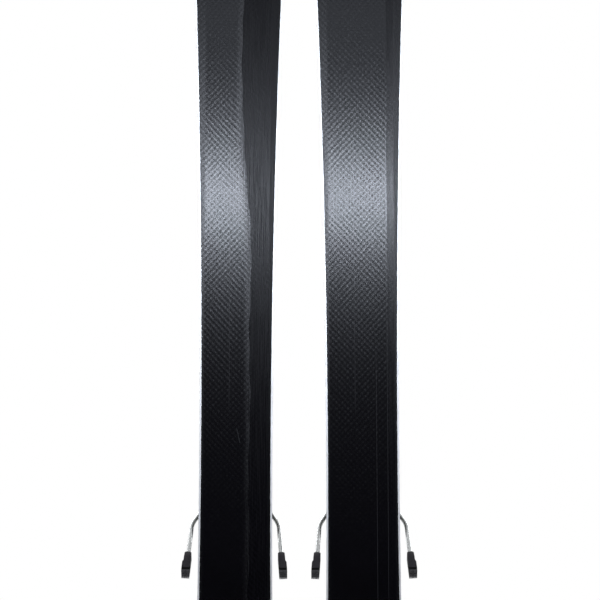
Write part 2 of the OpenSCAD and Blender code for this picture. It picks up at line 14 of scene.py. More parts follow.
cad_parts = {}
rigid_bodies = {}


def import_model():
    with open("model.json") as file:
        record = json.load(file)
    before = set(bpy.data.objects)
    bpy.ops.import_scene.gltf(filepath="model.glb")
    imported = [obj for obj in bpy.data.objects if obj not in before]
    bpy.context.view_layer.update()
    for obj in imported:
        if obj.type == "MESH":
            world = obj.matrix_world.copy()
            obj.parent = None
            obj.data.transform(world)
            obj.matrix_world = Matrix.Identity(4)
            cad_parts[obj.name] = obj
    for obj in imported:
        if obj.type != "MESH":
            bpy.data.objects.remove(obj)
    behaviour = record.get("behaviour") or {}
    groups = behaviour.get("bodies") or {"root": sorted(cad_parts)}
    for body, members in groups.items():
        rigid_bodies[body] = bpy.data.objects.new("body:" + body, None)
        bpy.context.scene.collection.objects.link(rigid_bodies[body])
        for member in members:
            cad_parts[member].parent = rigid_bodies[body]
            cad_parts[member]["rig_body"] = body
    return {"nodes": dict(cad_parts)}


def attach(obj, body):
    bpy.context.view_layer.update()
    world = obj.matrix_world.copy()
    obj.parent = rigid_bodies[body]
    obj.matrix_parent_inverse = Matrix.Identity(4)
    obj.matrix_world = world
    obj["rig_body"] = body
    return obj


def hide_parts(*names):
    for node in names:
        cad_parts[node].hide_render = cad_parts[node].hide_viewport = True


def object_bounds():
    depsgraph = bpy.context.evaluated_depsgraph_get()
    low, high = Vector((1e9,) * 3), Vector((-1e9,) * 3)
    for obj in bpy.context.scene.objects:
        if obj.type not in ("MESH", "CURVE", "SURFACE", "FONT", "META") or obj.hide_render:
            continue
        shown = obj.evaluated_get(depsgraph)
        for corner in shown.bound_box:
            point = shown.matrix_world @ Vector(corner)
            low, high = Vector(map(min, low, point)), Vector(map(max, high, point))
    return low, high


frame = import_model()
cad_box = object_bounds()

SIDES = {"left": -1, "right": 1}
MM = 0.001

# Ski shape, as in the CAD model
PAIR_SPACING = 133.1
TOE_IN = math.radians(0.4)
RACK_HEIGHT = 620
WAIST_W = 76.8
SIDECUT_R = 13900
SHOVEL_Y, TIP_LEN = 760, 145
TAIL_Y, TAIL_LEN = 640, 32
CAMBER = 4
MID_T, END_T = 13.5, 5.5
TIP_RISE, TAIL_RISE = 50, 5
TIP_BEND, TAIL_BEND = 2.2, 2
TIP_ROUNDING, TAIL_ROUNDING = 0.84, 0.62
EDGE_W, EDGE_H = 1.9, 2.2
BASE_T, LAMINATE_T, TOPSHEET_T = 1.3, 0.8, 0.9
SIDEWALL_W, TOP_INSET = 7, 2.4
EDGE_CHAMFER, SIDEWALL_CHAMFER = 0.12, 0.2
SIDEWALL_INSET = 0.4
# Rounded upper edge of the topsheet: inset from its side, and depth
TOPSHEET_EDGE = ((0, 0.5), (0.12, 0.2), (0.45, 0))
DECK_FRONT, DECK_BACK = 300, -205
DECK_Z = CAMBER + MID_T

# Ski brake, as in the CAD model
PIVOT_Y, PIVOT_Z = -78, 10.5
BRAKE_ANGLE = math.radians(45)
WIRE_R = 2.2
# Half of the wire from the centre line: straight length, turn towards the arm, bend radius
WIRE_STEPS = ((34, 62, 5), (10, 24, 25))
FOOT_RUN = 55

# Where the bases turn dull, in millimetres right of the middle as seen from the base. The left
# border moves from LOW to HIGH between two places along the ski.
DULL_RIGHT = 27
DULL_LEFT_LOW, DULL_LEFT_HIGH = 14, 4.5
DULL_BEND_START, DULL_BEND_END = 215, 345

# Ground lattice of the bases, in metres
LATTICE_PITCH = 0.0044
LATTICE_LEAN = math.radians(47)

# Scratches on the bases: start, end and width, in metres across and along
SHARED_SCRATCH = ((-0.008, 0.33), (-0.0074, 0.02), 0.0003)
SCRATCHES = {
    "left": (SHARED_SCRATCH, ((0.0005, 0.013), (0.0045, -0.004), 0.0005)),
    "right": (SHARED_SCRATCH, ((0.015, -0.45), (0.0148, 0.12), 0.0003),
              ((0.0262, 0.45), (0.0264, -0.2), 0.0003)),
}

# Rougher rim of the bases beside the steel edges, in metres from the middle
RIM_START, RIM_END = 0.0335, 0.0352

# Topsheet: slanting bands as where they cross the middle and their width, in metres
BAND_SLOPE = 2.6
GREY_BANDS = ((0.4, 0.03), (0.445, 0.012), (0.47, 0.005), (-0.3, 0.02), (-0.335, 0.008))
RED_BANDS = ((0.36, 0.006), (-0.27, 0.005))
BAND_BLUR = 0.0006
RED_TIP_START, RED_TIP_END = 0.42, 0.78
RED_TAIL_START, RED_TAIL_END = -0.3, -0.52
PIN_LINE_INSET = 0.0068
PIN_LINE_CORE, PIN_LINE_REACH = 0.0004, 0.0007
CHIPS_START, CHIPS_END = 0.0026, 0.0052

# Brake foot: where the painted shade of the gap between its two parts lies, and where it turns
# pale and frayed, in metres down the arm plus away from the base
GAP_SHADE_START, GAP_SHADE_END = 0.0738, 0.077
FOOT_BLUR = 0.0006
FRAY_START, FRAY_END = 0.0885, 0.0905


# Ski shape ------------------------------------------------------------------------------

def ease(t):
    """Smooth step from 0 to 1."""
    u = min(1, max(0, t))
    return u * u * (3 - 2 * u)


def middle(y):
    """1 under the bindings, falling to 0 at the shovel and the tail."""
    front = ease((SHOVEL_Y - y) / (SHOVEL_Y - DECK_FRONT))
    return min(front, ease((y + TAIL_Y) / (DECK_BACK + TAIL_Y)))


def bottom_z(y):
    rise = 0
    if y > SHOVEL_Y:
        rise = TIP_RISE * ((y - SHOVEL_Y) / TIP_LEN) ** TIP_BEND
    elif y < -TAIL_Y:
        rise = TAIL_RISE * ((-TAIL_Y - y) / TAIL_LEN) ** TAIL_BEND
    return CAMBER * middle(y) + rise


def top_z(y):
    return bottom_z(y) + END_T + (MID_T - END_T) * middle(y)


def half_w(y):
    return WAIST_W / 2 + y * y / (2 * SIDECUT_R)


def above_base(height):
    return lambda y: bottom_z(y) + height


def below_top(depth):
    return lambda y: top_z(y) - depth


def half_outline(inset):
    """Points from the tail's middle, up the +X side, to the tip's middle."""
    side_steps, tip_steps, tail_steps = 220, 44, 20

    def arc(width, length, power, steps):
        for i in range(1, steps + 1):
            a = math.pi / 2 * i / steps
            yield width * max(0, math.cos(a)) ** power, length * math.sin(a) ** power

    tail = list(arc(half_w(TAIL_Y) - inset, TAIL_LEN - inset, TAIL_ROUNDING, tail_steps))
    tip = arc(half_w(SHOVEL_Y) - inset, TIP_LEN - inset, TIP_ROUNDING, tip_steps)
    points = [(x, -TAIL_Y - y) for x, y in reversed(tail)]
    for i in range(side_steps + 1):
        y = -TAIL_Y + i * (SHOVEL_Y + TAIL_Y) / side_steps
        points.append((half_w(y) - inset, y))
    return points + [(x, SHOVEL_Y + y) for x, y in tip]


def ski_matrix(side):
    """From the ski's own frame, in millimetres, to its place in the pair, in metres."""
    s = SIDES[side]
    rack_z = top_z(RACK_HEIGHT)
    stand = Matrix(((-1, 0, 0, 0), (0, 0, 1, 0), (0, 1, 0, 0), (0, 0, 0, 1)))
    place = Matrix.Translation((s * PAIR_SPACING / 2, 0, -RACK_HEIGHT))
    lean = Matrix.Rotation(-s * TOE_IN, 4, "Y")
    return Matrix.Scale(MM, 4) @ place @ lean @ stand @ Matrix.Translation((0, 0, -rack_z))


def arm_matrix():
    """The brake arm's frame in the ski's: across, deep, and down along the arm."""
    place = Matrix.Translation((0, PIVOT_Y, PIVOT_Z + DECK_Z))
    return place @ Matrix.Rotation(BRAKE_ANGLE, 4, "X") @ Matrix.Rotation(math.pi / 2, 4, "X")


# Mesh helpers ---------------------------------------------------------------------------

def finish_piece(bm, name, side, body, slot, materials, replaces, local=True, sharp=30):
    """Makes the piece that replaces CAD nodes in the picture and rides on their body.

    local says that bm is in the ski's own frame. Edges above sharp degrees stay hard.
    """
    bmesh.ops.recalc_face_normals(bm, faces=bm.faces)
    if local:
        bm.transform(ski_matrix(side))
    mesh = bpy.data.meshes.new(name)
    bm.to_mesh(mesh)
    bm.free()
    for material in materials:
        mesh.materials.append(material)
    mesh.polygons.foreach_set("use_smooth", [True] * len(mesh.polygons))
    mesh.set_sharp_from_angle(angle=math.radians(sharp))
    piece = bpy.data.objects.new(name, mesh)
    bpy.context.scene.collection.objects.link(piece)
    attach(piece, body)
    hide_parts(*replaces)


def skin(bm, rings, caps=True):
    """Quads between closed rings of points, with a face over each end."""
    rows = [[bm.verts.new(p) for p in ring] for ring in rings]
    count = len(rows[0])
    for low, high in zip(rows, rows[1:]):
        for k in range(count):
            m = (k + 1) % count
            bm.faces.new((low[k], low[m], high[m], high[k]))
    if caps:
        bm.faces.new(list(reversed(rows[0])))
        bm.faces.new(rows[-1])


def merge_points(bm):
    """Closes the ends where a layer's rings shrink to the middle."""
    same_point, no_length = 1e-4, 1e-5
    bmesh.ops.remove_doubles(bm, verts=bm.verts, dist=same_point)
    bmesh.ops.dissolve_degenerate(bm, edges=bm.edges, dist=no_length)


def slab(bm, rim):
    """A full-width layer. rim lists (inset, height) from its lower corner to its upper one."""
    lines = [half_outline(inset) for inset, _ in rim]
    rings = []
    for i in range(len(lines[0])):
        right = [(line[i][0], line[i][1], z(line[i][1])) for line, (_, z) in zip(lines, rim)]
        rings.append(right + [(-x, y, z) for x, y, z in reversed(right)])
    skin(bm, rings, caps=False)
    merge_points(bm)


def strips(bm, section):
    """Two strips along the sides. section lists (inset, height) round the strip."""
    gap = 0.25  # least distance from the middle, so the strips don't meet at tip and tail
    lines = [half_outline(inset) for inset, _ in section]
    for s in (1, -1):
        rings = []
        for i in range(len(lines[0])):
            ring = [(s * max(gap, line[i][0]), line[i][1], z(line[i][1]))
                    for line, (_, z) in zip(lines, section)]
            rings.append(ring)
        skin(bm, rings)


def refined(node, slot, material, bevel):
    """A CAD node with its edges rounded by bevel, in millimetres, so that they catch light."""
    flat_angle, edge_angle, sharp = 1, 28, 40
    same_point = 2e-5
    side = node.split("_")[0]
    body = frame["nodes"][node]["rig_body"]
    bm = bmesh.new()
    bm.from_mesh(frame["nodes"][node].data)
    bmesh.ops.remove_doubles(bm, verts=bm.verts, dist=same_point)
    bmesh.ops.dissolve_limit(bm, angle_limit=math.radians(flat_angle), verts=bm.verts,
                             edges=bm.edges)
    bmesh.ops.recalc_face_normals(bm, faces=bm.faces)
    corners = [e for e in bm.edges
               if len(e.link_faces) == 2 and e.calc_face_angle(0) > math.radians(edge_angle)]
    bmesh.ops.bevel(bm, geom=corners, offset=bevel * MM, segments=2, profile=0.6,
                    affect="EDGES", clamp_overlap=False, harden_normals=False)
    finish_piece(bm, node + "_shell", side, body, slot, [material], [node], local=False,
                 sharp=sharp)


def dress(node, material):
    """Gives a CAD node that stays as it is its material."""
    slots = frame["nodes"][node].data.materials
    slots.clear()
    slots.append(material)


# Materials ------------------------------------------------------------------------------

class Nodes:
    """Builds one material's node tree."""

    def __init__(self, name):
        self.material = bpy.data.materials.new(name)
        self.material.use_nodes = True
        self.tree = self.material.node_tree
        self.shader = self.tree.nodes["Principled BSDF"]
        self.coords = self.add("ShaderNodeTexCoord").outputs["Object"]

    def add(self, kind, **values):
        node = self.tree.nodes.new(kind)
        for key, value in values.items():
            setattr(node, key, value)
        return node

    def put(self, socket, value):
        """Links another node's output to the socket, or sets the socket's own value."""
        if hasattr(value, "is_output"):
            self.tree.links.new(value, socket)
        else:
            socket.default_value = value

    def math(self, operation, *inputs):
        node = self.add("ShaderNodeMath", operation=operation)
        for socket, value in zip(node.inputs, inputs):
            self.put(socket, value)
        return node.outputs[0]

    def spread(self, value, low, high, to_low=0.0, to_high=1.0):
        """Smooth step from to_low at low to to_high at high."""
        node = self.add("ShaderNodeMapRange", interpolation_type="SMOOTHSTEP")
        for socket, number in zip(node.inputs, (value, low, high, to_low, to_high)):
            self.put(socket, number)
        return node.outputs[0]

    def noise(self, scale, detail=3.0, stretch=(1, 1, 1), roughness=0.55):
        mapping = self.add("ShaderNodeMapping")
        self.put(mapping.inputs["Vector"], self.coords)
        mapping.inputs["Scale"].default_value = stretch
        node = self.add("ShaderNodeTexNoise")
        self.put(node.inputs["Vector"], mapping.outputs[0])
        node.inputs["Scale"].default_value = scale
        node.inputs["Detail"].default_value = detail
        node.inputs["Roughness"].default_value = roughness
        return node.outputs["Fac"]

    def mix(self, factor, a, b):
        node = self.add("ShaderNodeMix", data_type="RGBA")
        self.put(node.inputs[0], factor)
        for socket, value in zip(node.inputs[6:8], (a, b)):
            self.put(socket, value if hasattr(value, "is_output") else (*value, 1))
        return node.outputs[2]

    def bump(self, height, distance, under=None):
        node = self.add("ShaderNodeBump")
        node.inputs["Strength"].default_value = 1.0
        node.inputs["Distance"].default_value = distance
        self.put(node.inputs["Height"], height)
        if under:
            self.put(node.inputs["Normal"], under)
        return node.outputs[0]

    def set(self, **values):
        """Fills the shader's sockets, named with _ for a space, and returns the material."""
        for key, value in values.items():
            socket = self.shader.inputs[key.replace("_", " ")]
            if key == "Base_Color" and not hasattr(value, "is_output"):
                value = (*value, 1)
            self.put(socket, value)
        return self.material

    def local(self, side, place=None):
        """Coordinates in the ski's own frame, or in one placed in it, in metres."""
        inverse = (ski_matrix(side) @ (place or Matrix())).inverted()
        axes = []
        for row in range(3):
            node = self.add("ShaderNodeVectorMath", operation="DOT_PRODUCT")
            self.put(node.inputs[0], self.coords)
            node.inputs[1].default_value = [inverse[row][i] * MM for i in range(3)]
            axes.append(self.math("ADD", node.outputs["Value"], inverse[row][3] * MM))
        return axes

    def stripes(self, x, y, angle, pitch):
        """0 to 1 across parallel lines that lean by angle from the X axis."""
        across = self.math("ADD", self.math("MULTIPLY", x, math.sin(angle) / pitch),
                           self.math("MULTIPLY", y, math.cos(angle) / pitch))
        wave = self.math("SINE", self.math("MULTIPLY", across, 2 * math.pi))
        return self.math("MULTIPLY_ADD", wave, 0.5, 0.5)

    def scratch(self, x, y, start, end, width):
        """1 on a straight scratch between two points, 0 away from it."""
        (x0, y0), (x1, y1) = start, end
        length = math.hypot(x1 - x0, y1 - y0)
        ux, uy = (x1 - x0) / length, (y1 - y0) / length
        along = self.math("ADD", self.math("MULTIPLY", x, ux),
                          self.math("MULTIPLY_ADD", y, uy, -(x0 * ux + y0 * uy)))
        off = self.math("ABSOLUTE", self.math("ADD", self.math("MULTIPLY", x, -uy),
                        self.math("MULTIPLY_ADD", y, ux, x0 * uy - y0 * ux)))
        beyond = self.math("ABSOLUTE", self.math("SUBTRACT", along, length / 2))
        aside = self.spread(off, width / 2, width)
        ended = self.spread(beyond, length * 0.4, length / 2)
        return self.math("MULTIPLY", self.math("SUBTRACT", 1, aside),
                         self.math("SUBTRACT", 1, ended))


def plastic(name, color, rough, grain=0.00004, grain_scale=2600, tint=0.25, coat=0.0):
    """Moulded plastic or paint: cloudy colour, fine grain and pale scuffs."""
    n = Nodes(name)
    cloud = n.noise(45, 4)
    fine = n.noise(grain_scale, 2)
    lighter = tuple(c + (1 - c) * 0.05 * tint for c in color)
    darker = tuple(c * (1 - 0.4 * tint) for c in color)
    scuff = n.spread(n.noise(160, 5, (1, 1, 0.25)), 0.6, 0.78)
    base = n.mix(n.spread(cloud, 0.35, 0.65), darker, lighter)
    worn = tuple(c + (0.35 - c) * 0.12 for c in color)
    gloss = n.math("ADD", n.spread(cloud, 0.3, 0.7, rough - 0.05, rough + 0.05),
                   n.math("MULTIPLY", scuff, 0.12))
    return n.set(Base_Color=n.mix(n.math("MULTIPLY", scuff, 0.6), base, worn), Roughness=gloss,
                 Coat_Weight=coat, Coat_Roughness=0.12, Normal=n.bump(fine, grain))


def metal(name, color, rough, stretch, brush, tarnish, brush_scale=900):
    """Bare metal with brush lines. A small last number in stretch makes them long along Z."""
    n = Nodes(name)
    lines = n.noise(brush_scale, 3, stretch)
    cloud = n.noise(70, 4)
    dull = tuple(c * (1 - tarnish) for c in color)
    return n.set(
        Base_Color=n.mix(n.spread(cloud, 0.4, 0.75), color, dull), Metallic=1.0,
        Roughness=n.math("ADD", n.spread(lines, 0.3, 0.7, rough - 0.06, rough + 0.08),
                         n.spread(cloud, 0.4, 0.8, 0, 0.1)),
        Normal=n.bump(lines, brush))


def dull_border(side, y):
    """Where the base turns dull, in millimetres right of the ski's middle seen from the base."""
    if side == "right":
        return DULL_RIGHT + 0.3 * math.sin(y / 17)
    wander = 0.8 * math.sin(y / 23) + 0.5 * math.sin(y / 7.3 + 1)
    bend = ease((y - DULL_BEND_START) / (DULL_BEND_END - DULL_BEND_START))
    return DULL_LEFT_LOW - (DULL_LEFT_LOW - DULL_LEFT_HIGH) * bend + wander


def ground_lattice(n, x, y, least, most):
    """Two crossing sets of ground lines, and the pits that neither of them covers.

    The second set's share of the pattern wanders from least to most.
    """
    both = 1.15
    down = n.stripes(x, y, LATTICE_LEAN, LATTICE_PITCH)
    up = n.stripes(x, y, -LATTICE_LEAN, LATTICE_PITCH)
    share = n.spread(n.noise(16, 2), 0.42, 0.6, least, most)
    lattice = n.math("ADD", n.math("MULTIPLY", down, n.math("SUBTRACT", both, share)),
                     n.math("MULTIPLY", up, share))
    pits = n.math("MULTIPLY", n.math("SUBTRACT", 1, down), n.math("SUBTRACT", 1, up))
    return lattice, n.math("MULTIPLY", pits, n.spread(n.noise(330, 3), 0.35, 0.65))


def ski_base(side, dull):
    """Black polyethylene with a stone-ground lattice. The dull strip is worn and hairy."""
    on_left = side == "left"
    n = Nodes(side + ("_base_dull" if dull else "_base_ground"))
    local_x, y, _ = n.local(side)
    x = n.math("MULTIPLY", local_x, -1)
    least, most = (0.1, 0.75) if on_left else (0.35, 0.8)
    lattice, pits = ground_lattice(n, x, y, least, most)
    grit = n.noise(520, 3, (1, 1, 0.5), 0.7)
    hairs = n.noise(900, 4, (1, 1, 0.03), 0.6)
    rim = n.spread(n.math("ABSOLUTE", x), RIM_START, RIM_END)
    rough = n.math("MULTIPLY_ADD", grit, 0.05, -0.025)
    if dull:
        furred, plain = (0.3, 0.2) if on_left else (0.25, 0.18)
        rough = n.math("ADD", rough, n.spread(hairs, 0.3, 0.75, furred, plain))
    else:
        rough = n.math("ADD", rough, n.math("MULTIPLY_ADD", lattice, -0.024, 0.193))
        rough = n.math("MULTIPLY_ADD", pits, 0.05, rough)
        if on_left:
            bend = DULL_BEND_START * MM, DULL_BEND_END * MM
            border = n.spread(y, *bend, DULL_LEFT_LOW * MM, DULL_LEFT_HIGH * MM)
            worn = n.spread(n.math("SUBTRACT", x, border), -0.008, 0.0005)
            worn = n.math("MULTIPLY", worn, n.spread(hairs, 0.3, 0.6, 0.03, 0.14))
            rough = n.math("ADD", rough, worn)
    rough = n.math("ADD", rough, n.math("MULTIPLY", rim, 0.06))
    marked = 0
    for start, end, width in SCRATCHES[side]:
        marked = n.math("MAXIMUM", marked, n.scratch(x, y, start, end, width))
    if dull:
        hairiness, gloss = (0.16, 0.15) if on_left else (0.07, 0.28)
        lattice_depth, hair_depth = 0.000012, 0.00001
    else:
        hairiness, gloss = 0.03, 0.4
        lattice_depth, hair_depth = 0.000024, 0.000002
    streaks = n.math("MULTIPLY", n.spread(hairs, 0.66, 0.78), hairiness)
    wear = n.math("MAXIMUM", n.math("MULTIPLY", marked, 0.3), streaks)
    groove, ridge, pale = (0.0006, 0.0005, 0.0011), (0.002, 0.0018, 0.003), (0.06, 0.063, 0.07)
    color = n.mix(wear, n.mix(lattice, groove, ridge), pale)
    relief = n.bump(n.math("MULTIPLY_ADD", pits, -0.3, lattice), lattice_depth)
    relief = n.bump(hairs, hair_depth, under=relief)
    return n.set(Base_Color=color, Roughness=rough, Specular_IOR_Level=gloss, Normal=relief)


def topsheet(side):
    """Charcoal that turns red at both ends, slanting bands, a pin line and a chipped rim."""
    n = Nodes(side + "_topsheet_print")
    x, y, _ = n.local(side)
    lean = n.math("MULTIPLY_ADD", x, BAND_SLOPE, y)
    fade = n.math("ADD", y, n.math("MULTIPLY_ADD", n.noise(9, 5), 0.12, -0.06))
    grain = n.spread(n.noise(420, 3, (1, 1, 0.08)), 0.3, 0.7)
    charcoal = n.mix(grain, (0.011, 0.012, 0.014), (0.02, 0.021, 0.024))
    red = n.mix(n.noise(25, 4), (0.36, 0.012, 0.01), (0.5, 0.028, 0.018))
    grey = n.mix(n.noise(60, 4), (0.28, 0.29, 0.3), (0.4, 0.41, 0.42))
    color = n.mix(n.spread(fade, RED_TIP_START, RED_TIP_END), charcoal, red)
    color = n.mix(n.spread(fade, RED_TAIL_START, RED_TAIL_END), color, red)

    def band(center, width):
        near = n.math("ABSOLUTE", n.math("SUBTRACT", lean, center))
        return n.math("SUBTRACT", 1, n.spread(near, width / 2, width / 2 + BAND_BLUR))

    for center, width in GREY_BANDS:
        color = n.mix(band(center, width), color, grey)
    for center, width in RED_BANDS:
        color = n.mix(band(center, width), color, (0.55, 0.03, 0.02))
    sidecut, half_waist = 1 / (2 * SIDECUT_R * MM), WAIST_W / 2 * MM
    half = n.math("MULTIPLY_ADD", n.math("MULTIPLY", y, y), sidecut, half_waist)
    from_edge = n.math("SUBTRACT", half, n.math("ABSOLUTE", x))
    inner = n.math("ABSOLUTE", n.math("SUBTRACT", from_edge, PIN_LINE_INSET))
    pin = n.math("SUBTRACT", 1, n.spread(inner, PIN_LINE_CORE, PIN_LINE_REACH))
    color = n.mix(pin, color, (0.5, 0.51, 0.52))
    chips = n.math("MULTIPLY", n.spread(n.noise(240, 5, (1, 1, 0.35)), 0.58, 0.64),
                   n.math("SUBTRACT", 1, n.spread(from_edge, CHIPS_START, CHIPS_END)))
    color = n.mix(chips, color, (0.3, 0.3, 0.29))
    scuffs = n.spread(n.noise(600, 5, (0.25, 0.25, 0.02)), 0.66, 0.74)
    rough = n.math("ADD", n.math("MULTIPLY_ADD", scuffs, 0.25, 0.3),
                   n.math("MULTIPLY", chips, 0.3))
    return n.set(Base_Color=color, Roughness=rough, Coat_Weight=0.5, Coat_Roughness=0.08,
                 Normal=n.bump(n.noise(900, 3), 0.00002))


def brake_foot(side):
    """Black plastic with painted shade along the corner before its end, for the gap between the
    foot's two parts, and a scraped and frayed end.
    """
    n = Nodes(side + "_brake_plastic")
    _, deep, down = n.local(side, arm_matrix())
    along = n.math("ADD", down, deep)
    # line is painted shade: a nearly black, rougher band where the gap between the foot's two
    # parts lies
    line = n.math("MULTIPLY", n.spread(along, GAP_SHADE_START, GAP_SHADE_START + FOOT_BLUR),
                  n.spread(along, GAP_SHADE_END + FOOT_BLUR, GAP_SHADE_END))
    scraped = n.spread(along, GAP_SHADE_END, GAP_SHADE_END + FOOT_BLUR)
    frayed = n.math("MULTIPLY", n.spread(along, FRAY_START, FRAY_END),
                    n.spread(n.noise(1400, 3, (1, 1, 0.3)), 0.4, 0.55))
    grain = n.noise(700, 4)
    color = n.mix(n.spread(grain, 0.35, 0.65), (0.013, 0.012, 0.015), (0.02, 0.019, 0.023))
    color = n.mix(scraped, color, (0.034, 0.034, 0.037))
    color = n.mix(frayed, color, (0.5, 0.5, 0.5))
    # Paints the shade of the gap between the foot's two parts, nearly black
    color = n.mix(line, color, (0.0008, 0.0008, 0.001))
    rough = n.math("MULTIPLY_ADD", line, 0.6, n.math("MULTIPLY_ADD", scraped, 0.2, 0.4))
    return n.set(Base_Color=color, Roughness=rough, Specular_IOR_Level=0.2,
                 Normal=n.bump(grain, 0.00004))


def wood():
    """Laminated core wood, with its grain along the ski."""
    n = Nodes("core_wood")
    rings = n.noise(60, 5, (4, 4, 0.12))
    color = n.mix(n.spread(rings, 0.35, 0.65), (0.42, 0.25, 0.11), (0.58, 0.4, 0.2))
    return n.set(Base_Color=color, Roughness=n.spread(rings, 0.3, 0.7, 0.55, 0.7),
                 Normal=n.bump(rings, 0.0001))


def fibre():
    """Glass cloth in resin, woven across and along the ski."""
    n = Nodes("laminate_fibre")
    weave = n.math("MULTIPLY", n.noise(1500, 2, (1, 1, 0.05)), n.noise(1500, 2, (0.05, 1, 1)))
    color = n.mix(n.spread(weave, 0.15, 0.4), (0.3, 0.31, 0.22), (0.5, 0.52, 0.4))
    return n.set(Base_Color=color, Roughness=n.spread(weave, 0.1, 0.4, 0.3, 0.5),
                 Normal=n.bump(weave, 0.00005))


base_finish = {side: [ski_base(side, False), ski_base(side, True)] for side in SIDES}
print_finish = {side: topsheet(side) for side in SIDES}
edge_steel = metal("edge_steel", (0.92, 0.92, 0.92), 0.4, (1, 1, 0.02), 0.00001, 0.12, 2400)
sidewall_black = plastic("sidewall_black", (0.012, 0.012, 0.013), 0.35, 0.00003)
plastic_black = plastic("plastic_black", (0.014, 0.014, 0.016), 0.36)
plastic_grey = plastic("plastic_grey", (0.05, 0.052, 0.057), 0.45)
shell_silver = plastic("metal_grey", (0.5, 0.51, 0.52), 0.3, 0.00002, 1800, 0.2, 0.4)
screw_steel = metal("screw_steel", (0.6, 0.6, 0.6), 0.3, (1, 1, 1), 0.00002, 0.35)
spring_steel = metal("spring_steel", (0.42, 0.42, 0.43), 0.32, (1, 1, 1), 0.00002, 0.4)
slide_white = plastic("slide_white", (0.66, 0.66, 0.65), 0.32, 0.00001, 2000, 0.2)
lever_red = plastic("lever_red", (0.5, 0.022, 0.014), 0.32, 0.00003, 2600, 0.3, 0.3)
wire_chrome = metal("wire_chrome", (0.93, 0.96, 0.97), 0.22, (1, 1, 0.2), 0.00001, 0.15)
foot_finish = {side: brake_foot(side) for side in SIDES}
core_wood, laminate_fibre = wood(), fibre()


# Pieces ---------------------------------------------------------------------------------

def running_base(side):
    """The base, split along the line where its finish changes."""
    farthest_split = 0.96  # share of the half width
    bm = bmesh.new()
    rings = []
    for w, y in half_outline(EDGE_W):
        low, high = bottom_z(y), bottom_z(y) + BASE_T
        split = -min(dull_border(side, y), farthest_split * w)
        rings.append([(w, y, low), (w, y, high), (-w, y, high), (-w, y, low), (split, y, low)])
    skin(bm, rings, caps=False)
    bm.normal_update()
    for face in bm.faces:
        centre = face.calc_center_median()
        on_bottom = abs(face.normal.z) > 0.5 and centre.z < bottom_z(centre.y) + BASE_T / 2
        border = -dull_border(side, centre.y)
        face.material_index = 1 if on_bottom and centre.x < border else 0
    merge_points(bm)
    finish_piece(bm, side + "_running_base", side, "skis", "base_black", base_finish[side],
                 [side + "_base"])


def ski_layers(side):
    """The ski's visible layers, finer than in the CAD, and the looks of the hidden ones."""
    running_base(side)
    bm = bmesh.new()
    strips(bm, [(EDGE_CHAMFER, above_base(0)), (EDGE_W, above_base(0)),
                (EDGE_W, above_base(EDGE_H)), (0, above_base(EDGE_H)),
                (0, above_base(EDGE_CHAMFER))])
    finish_piece(bm, side + "_steel_edge_pair", side, "skis", "edge_steel", [edge_steel],
                 [side + "_steel_edges"])
    bm = bmesh.new()
    low, high = above_base(EDGE_H), below_top(LAMINATE_T + TOPSHEET_T)
    under_high = below_top(LAMINATE_T + TOPSHEET_T + 2 * SIDEWALL_CHAMFER)
    strips(bm, [(SIDEWALL_INSET, low), (SIDEWALL_W, low), (SIDEWALL_W, high),
                (TOP_INSET + SIDEWALL_CHAMFER, high), (TOP_INSET - SIDEWALL_CHAMFER, under_high)])
    finish_piece(bm, side + "_sidewall_pair", side, "skis", "sidewall_black", [sidewall_black],
                 [side + "_sidewalls"])
    bm = bmesh.new()
    slab(bm, [(TOP_INSET, below_top(TOPSHEET_T))]
         + [(TOP_INSET + inset, below_top(depth)) for inset, depth in TOPSHEET_EDGE])
    finish_piece(bm, side + "_topsheet_skin", side, "skis", "topsheet_print", [print_finish[side]],
                 [side + "_topsheet"])
    for part, finish in (("core", core_wood), ("laminates", laminate_fibre)):
        dress(side + "_" + part, finish)


def wire_points():
    """Half of the brake wire, from the axle's end to the arm's end: (across, down, heading)."""
    degrees_per_step = 5
    at, heading, points = Vector((0, 0)), 0.0, []
    for length, turn, radius in WIRE_STEPS:
        start = at + length * Vector((math.cos(heading), math.sin(heading)))
        s = math.copysign(radius, turn)
        centre = start + s * Vector((-math.sin(heading), math.cos(heading)))
        count = max(3, round(abs(turn) / degrees_per_step))
        for k in range(count + 1):
            a = heading + math.radians(turn) * k / count
            at = centre - s * Vector((-math.sin(a), math.cos(a)))
            points.append((at.x, at.y, a))
        heading = a
    end = at + FOOT_RUN * Vector((math.cos(heading), math.sin(heading)))
    return points + [(end.x, end.y, heading)]


def brake_wire(side):
    """A round wire swept along wire_points() and its mirror image."""
    half = wire_points()
    path = [(-x, z, -a) for x, z, a in reversed(half)] + half
    sides = 24
    rings = []
    for x, z, a in path:
        ring = []
        for k in range(sides):
            b = 2 * math.pi * k / sides
            ring.append((x + WIRE_R * math.cos(b) * math.sin(a), WIRE_R * math.sin(b),
                         z - WIRE_R * math.cos(b) * math.cos(a)))
        rings.append(ring)
    bm = bmesh.new()
    skin(bm, rings)
    bm.transform(arm_matrix())
    finish_piece(bm, side + "_brake_bent_wire", side, side + "_brake", "wire_chrome",
                 [wire_chrome], [side + "_brake_wire"])


